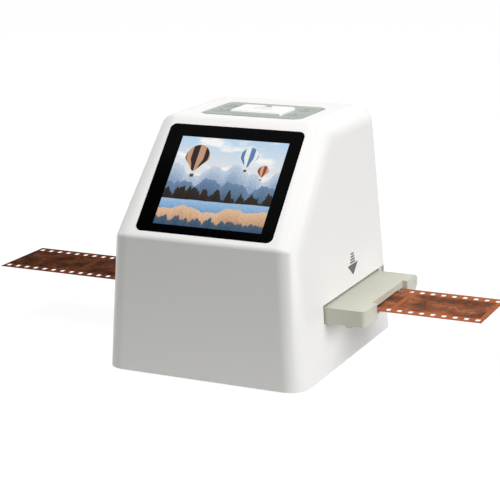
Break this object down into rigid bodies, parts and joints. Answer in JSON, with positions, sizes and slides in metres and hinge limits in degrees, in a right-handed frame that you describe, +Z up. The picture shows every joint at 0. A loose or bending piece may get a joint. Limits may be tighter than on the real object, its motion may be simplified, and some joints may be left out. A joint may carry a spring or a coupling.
{
  "type": "film negative scanner",
  "caption": "Desktop film scanner with a sloping screen, top keys and a clamshell film tray that slides through a slot in its moulded housing.",
  "frame": {"origin": "on the table under the middle of the body, 0.6 mm below the base plate", "axes": "+X along the film towards the end of the tray with the long overhang, +Y to the back, +Z up"},
  "size_m": [0.228, 0.105, 0.1035],
  "materials": {
    "housing_white": "fine satin moulding",
    "tray_grey": "fine matte moulding",
    "key_grey": "fine matte moulding",
    "key_white": "fine matte moulding",
    "foot_rubber": "matte",
    "window_black": "polished, black border and clear middle",
    "display_glass": "glass face of the display",
    "screw_steel": "zinc plated",
    "spring_steel": "bright",
    "board_green": "solder mask",
    "dark_plastic": "fine matte moulding",
    "socket_metal": "tin plated",
    "connector_cream": "moulded",
    "flex_amber": "flexible foil",
    "lens_glass": "coated",
    "light_white": "diffusing white",
    "led_yellow": "phosphor and clear dome",
    "film_base": "developed colour negative film"
  },
  "bodies": {
    "scanner": {"main_housing": "housing_white", "base_plate": "housing_white", "rubber_feet": "foot_rubber", "base_screws": "screw_steel", "display_window": "window_black", "lcd_panel": "display_glass", "display_bracket": "dark_plastic", "display_screws": "screw_steel", "key_plate": "key_grey", "key_board": "board_green", "key_board_screws": "screw_steel", "switch_bodies": "dark_plastic", "main_board": "board_green", "main_chips": "dark_plastic", "main_board_screws": "screw_steel", "cable_connectors": "connector_cream", "port_board": "board_green", "port_board_screws": "screw_steel", "usb_socket": "socket_metal", "card_socket": "socket_metal", "sensor_board": "board_green", "sensor_screws": "screw_steel", "image_sensor": "dark_plastic", "lens_holder": "dark_plastic", "lens_barrel": "dark_plastic", "lens_elements": "lens_glass", "optics_chamber": "dark_plastic", "chamber_screws": "screw_steel", "tray_guide": "tray_grey", "guide_screws": "screw_steel", "detent_spring": "spring_steel", "light_box": "light_white", "diffuser": "light_white", "led_board": "light_white", "leds": "led_yellow", "display_cable": "flex_amber", "key_cable": "flex_amber", "sensor_cable": "flex_amber", "led_cable": "flex_amber", "port_cable": "flex_amber"},
    "film_tray": {"tray_base": "tray_grey", "tray_cover": "tray_grey", "tray_hinge_pin": "screw_steel"},
    "film": {"film_strip": "film_base"},
    "scan_key": {"scan_key": "key_white", "scan_plunger": "dark_plastic"},
    "key_front_left": {"key_front_left": "key_grey", "plunger_front_left": "dark_plastic"},
    "key_back_left": {"key_back_left": "key_grey", "plunger_back_left": "dark_plastic"},
    "key_front_right": {"key_front_right": "key_grey", "plunger_front_right": "dark_plastic"},
    "key_back_right": {"key_back_right": "key_grey", "plunger_back_right": "dark_plastic"}
  },
  "joints": [
    {"name": "tray_slide", "type": "slide", "parent": "scanner", "child": "film_tray", "axis": [1, 0, 0], "range_m": [-0.008, 0.08]},
    {"name": "film_feed", "type": "slide", "parent": "film_tray", "child": "film", "axis": [1, 0, 0], "range_m": [-0.085, 0.1]},
    {"name": "scan_key_press", "type": "slide", "parent": "scanner", "child": "scan_key", "axis": [0, 0, -1], "range_m": [0, 0.0005], "stiffness_N_per_m": 300, "springref_m": -0.002},
    {"name": "key_front_left_press", "type": "slide", "parent": "scanner", "child": "key_front_left", "axis": [0, 0, -1], "range_m": [0, 0.0005], "stiffness_N_per_m": 300, "springref_m": -0.002},
    {"name": "key_back_left_press", "type": "slide", "parent": "scanner", "child": "key_back_left", "axis": [0, 0, -1], "range_m": [0, 0.0005], "stiffness_N_per_m": 300, "springref_m": -0.002},
    {"name": "key_front_right_press", "type": "slide", "parent": "scanner", "child": "key_front_right", "axis": [0, 0, -1], "range_m": [0, 0.0005], "stiffness_N_per_m": 300, "springref_m": -0.002},
    {"name": "key_back_right_press", "type": "slide", "parent": "scanner", "child": "key_back_right", "axis": [0, 0, -1], "range_m": [0, 0.0005], "stiffness_N_per_m": 300, "springref_m": -0.002}
  ]
}
